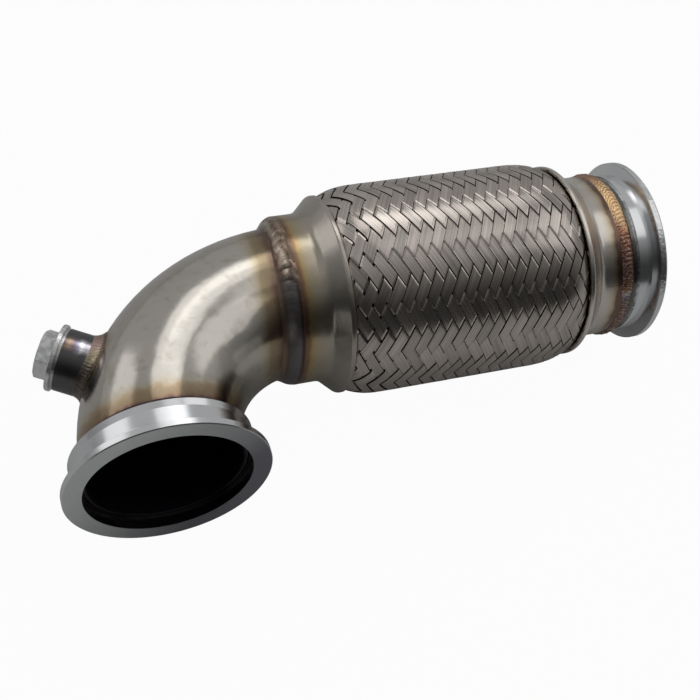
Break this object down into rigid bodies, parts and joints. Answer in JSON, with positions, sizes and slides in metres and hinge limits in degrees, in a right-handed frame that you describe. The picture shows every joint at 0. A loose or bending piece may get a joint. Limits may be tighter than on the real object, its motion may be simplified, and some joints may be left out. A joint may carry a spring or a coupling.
{
  "type": "exhaust downpipe",
  "caption": "Stainless exhaust downpipe: clamp flange, right-angle elbow with a plugged sensor bung, braided flex joint and a second clamp flange.",
  "frame": {"origin": "centre of the inlet flange's face, on the inlet's axis", "axes": "-Y out of the inlet, +X along the flex joint towards the outlet, +Z square to the plane of the bend"},
  "size_m": [0.2958, 0.1349, 0.0994],
  "materials": {
    "flange_steel": "turned, satin",
    "pipe_steel": "satin with heat tint near the welds",
    "cap_steel": "pressed, satin with heat tint",
    "braid_steel": "woven flat wire strands",
    "bellows_steel": "bright formed sheet",
    "liner_steel": "interlocked strip",
    "weld_bead": "rippled, straw and blue heat tint",
    "bung_steel": "turned, blued by heat",
    "zinc_plug": "zinc plated"
  },
  "bodies": {
    "inlet_side": {"inlet_flange": "flange_steel", "inlet_flange_weld": "weld_bead", "elbow": "pipe_steel", "sensor_bung": "bung_steel", "sensor_bung_weld": "weld_bead", "bung_plug": "zinc_plug", "plug_washer": "zinc_plug", "elbow_weld": "weld_bead", "front_cap": "cap_steel", "front_ferrule": "cap_steel", "bellows": "bellows_steel", "interlock_liner": "liner_steel", "braid": "braid_steel"},
    "outlet_side": {"rear_ferrule": "cap_steel", "rear_cap": "cap_steel", "outlet_weld": "weld_bead", "outlet_flange": "flange_steel"}
  },
  "joints": [
    {"name": "flex_bend", "type": "hinge", "parent": "inlet_side", "child": "outlet_side", "pos_m": [0.1501, 0.0852, 0], "axis": [0, 0, 1], "range_deg": [-8, 8], "stiffness_Nm_per_rad": 40, "deforming": ["braid", "bellows", "interlock_liner"]}
  ]
}
